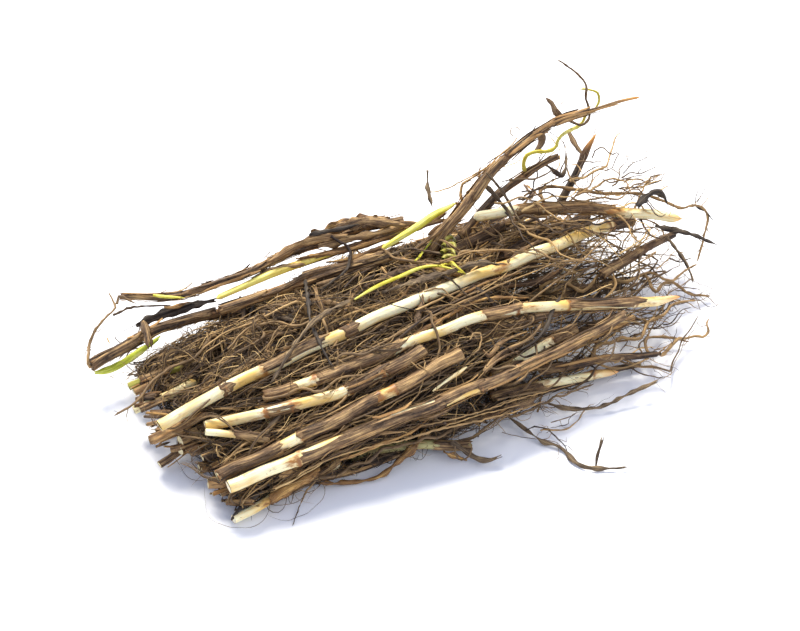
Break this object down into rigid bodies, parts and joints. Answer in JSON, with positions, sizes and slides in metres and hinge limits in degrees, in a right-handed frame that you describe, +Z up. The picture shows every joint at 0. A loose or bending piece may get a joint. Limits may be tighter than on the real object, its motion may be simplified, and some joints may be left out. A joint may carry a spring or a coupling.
{
  "type": "couch grass root",
  "caption": "Clump of couch grass rhizomes with pale joints, brown sheaths, dry leaves and fibrous roots, cut at one end.",
  "frame": {"origin": "on the ground, under the middle of the clump's box", "axes": "+X along the rhizomes, from their cut ends to their growing tips; +Y towards the back of the clump; +Z up from the ground"},
  "size_m": [0.1358, 0.0876, 0.049],
  "materials": {
    "pale_rhizome": "smooth, pale cream",
    "brown_sheath": "dry, striated",
    "olive_rhizome": "dull",
    "tan_sheath": "dry, striated",
    "yellow_shoot": "smooth",
    "green_sheath": "smooth",
    "dark_leaf": "dry",
    "grey_leaf": "dry, wrinkled"
  },
  "bodies": {
    "root": {"long_pale_rhizome": "pale_rhizome", "short_pale_rhizome": "pale_rhizome", "upper_brown_rhizome": "brown_sheath", "thick_brown_rhizome": "brown_sheath", "second_brown_rhizome": "brown_sheath", "low_front_rhizome": "brown_sheath", "olive_front_rhizome": "olive_rhizome", "left_stub": "brown_sheath", "left_upper_piece": "brown_sheath", "left_cut_end": "pale_rhizome", "left_green_cut_end": "green_sheath", "thin_pale_rhizome": "pale_rhizome", "lower_pale_rhizome": "pale_rhizome", "hairy_root": "brown_sheath", "short_cream_piece": "pale_rhizome", "right_pale_rhizome": "pale_rhizome", "right_brown_rhizome": "brown_sheath", "broad_sheath_piece": "brown_sheath", "right_stub": "brown_sheath", "back_brown_rhizome": "brown_sheath", "back_yellow_rhizome": "yellow_shoot", "back_tan_rhizome": "tan_sheath", "left_arm": "brown_sheath", "big_shoot": "brown_sheath", "second_shoot": "brown_sheath", "yellow_shoot": "yellow_shoot", "dark_upright_shoot": "dark_leaf", "hidden_rhizome_1": "brown_sheath", "hidden_rhizome_2": "brown_sheath", "hidden_rhizome_3": "brown_sheath", "hidden_rhizome_4": "brown_sheath", "hidden_rhizome_5": "brown_sheath", "hidden_rhizome_6": "brown_sheath", "hidden_rhizome_7": "brown_sheath", "hidden_rhizome_8": "brown_sheath", "hidden_rhizome_9": "brown_sheath", "hidden_rhizome_10": "brown_sheath", "hidden_rhizome_11": "brown_sheath", "left_green_sheath": "green_sheath", "dark_strip": "dark_leaf", "yellow_scale": "yellow_shoot", "crumpled_top_leaf": "tan_sheath", "tan_strap_leaf": "tan_sheath", "folded_front_leaf": "grey_leaf", "brown_front_scrap": "tan_sheath", "right_ground_leaf": "grey_leaf", "far_ground_leaf": "grey_leaf", "first_dark_leaf": "dark_leaf", "second_dark_leaf": "dark_leaf", "third_dark_leaf": "grey_leaf", "wrinkled_leaf": "grey_leaf", "yellow_leaf": "yellow_shoot", "upper_grey_leaf": "grey_leaf", "folded_dark_leaf": "dark_leaf", "far_right_leaf": "dark_leaf", "hanging_leaf": "grey_leaf", "small_upright_leaf": "grey_leaf"}
  },
  "joints": []
}
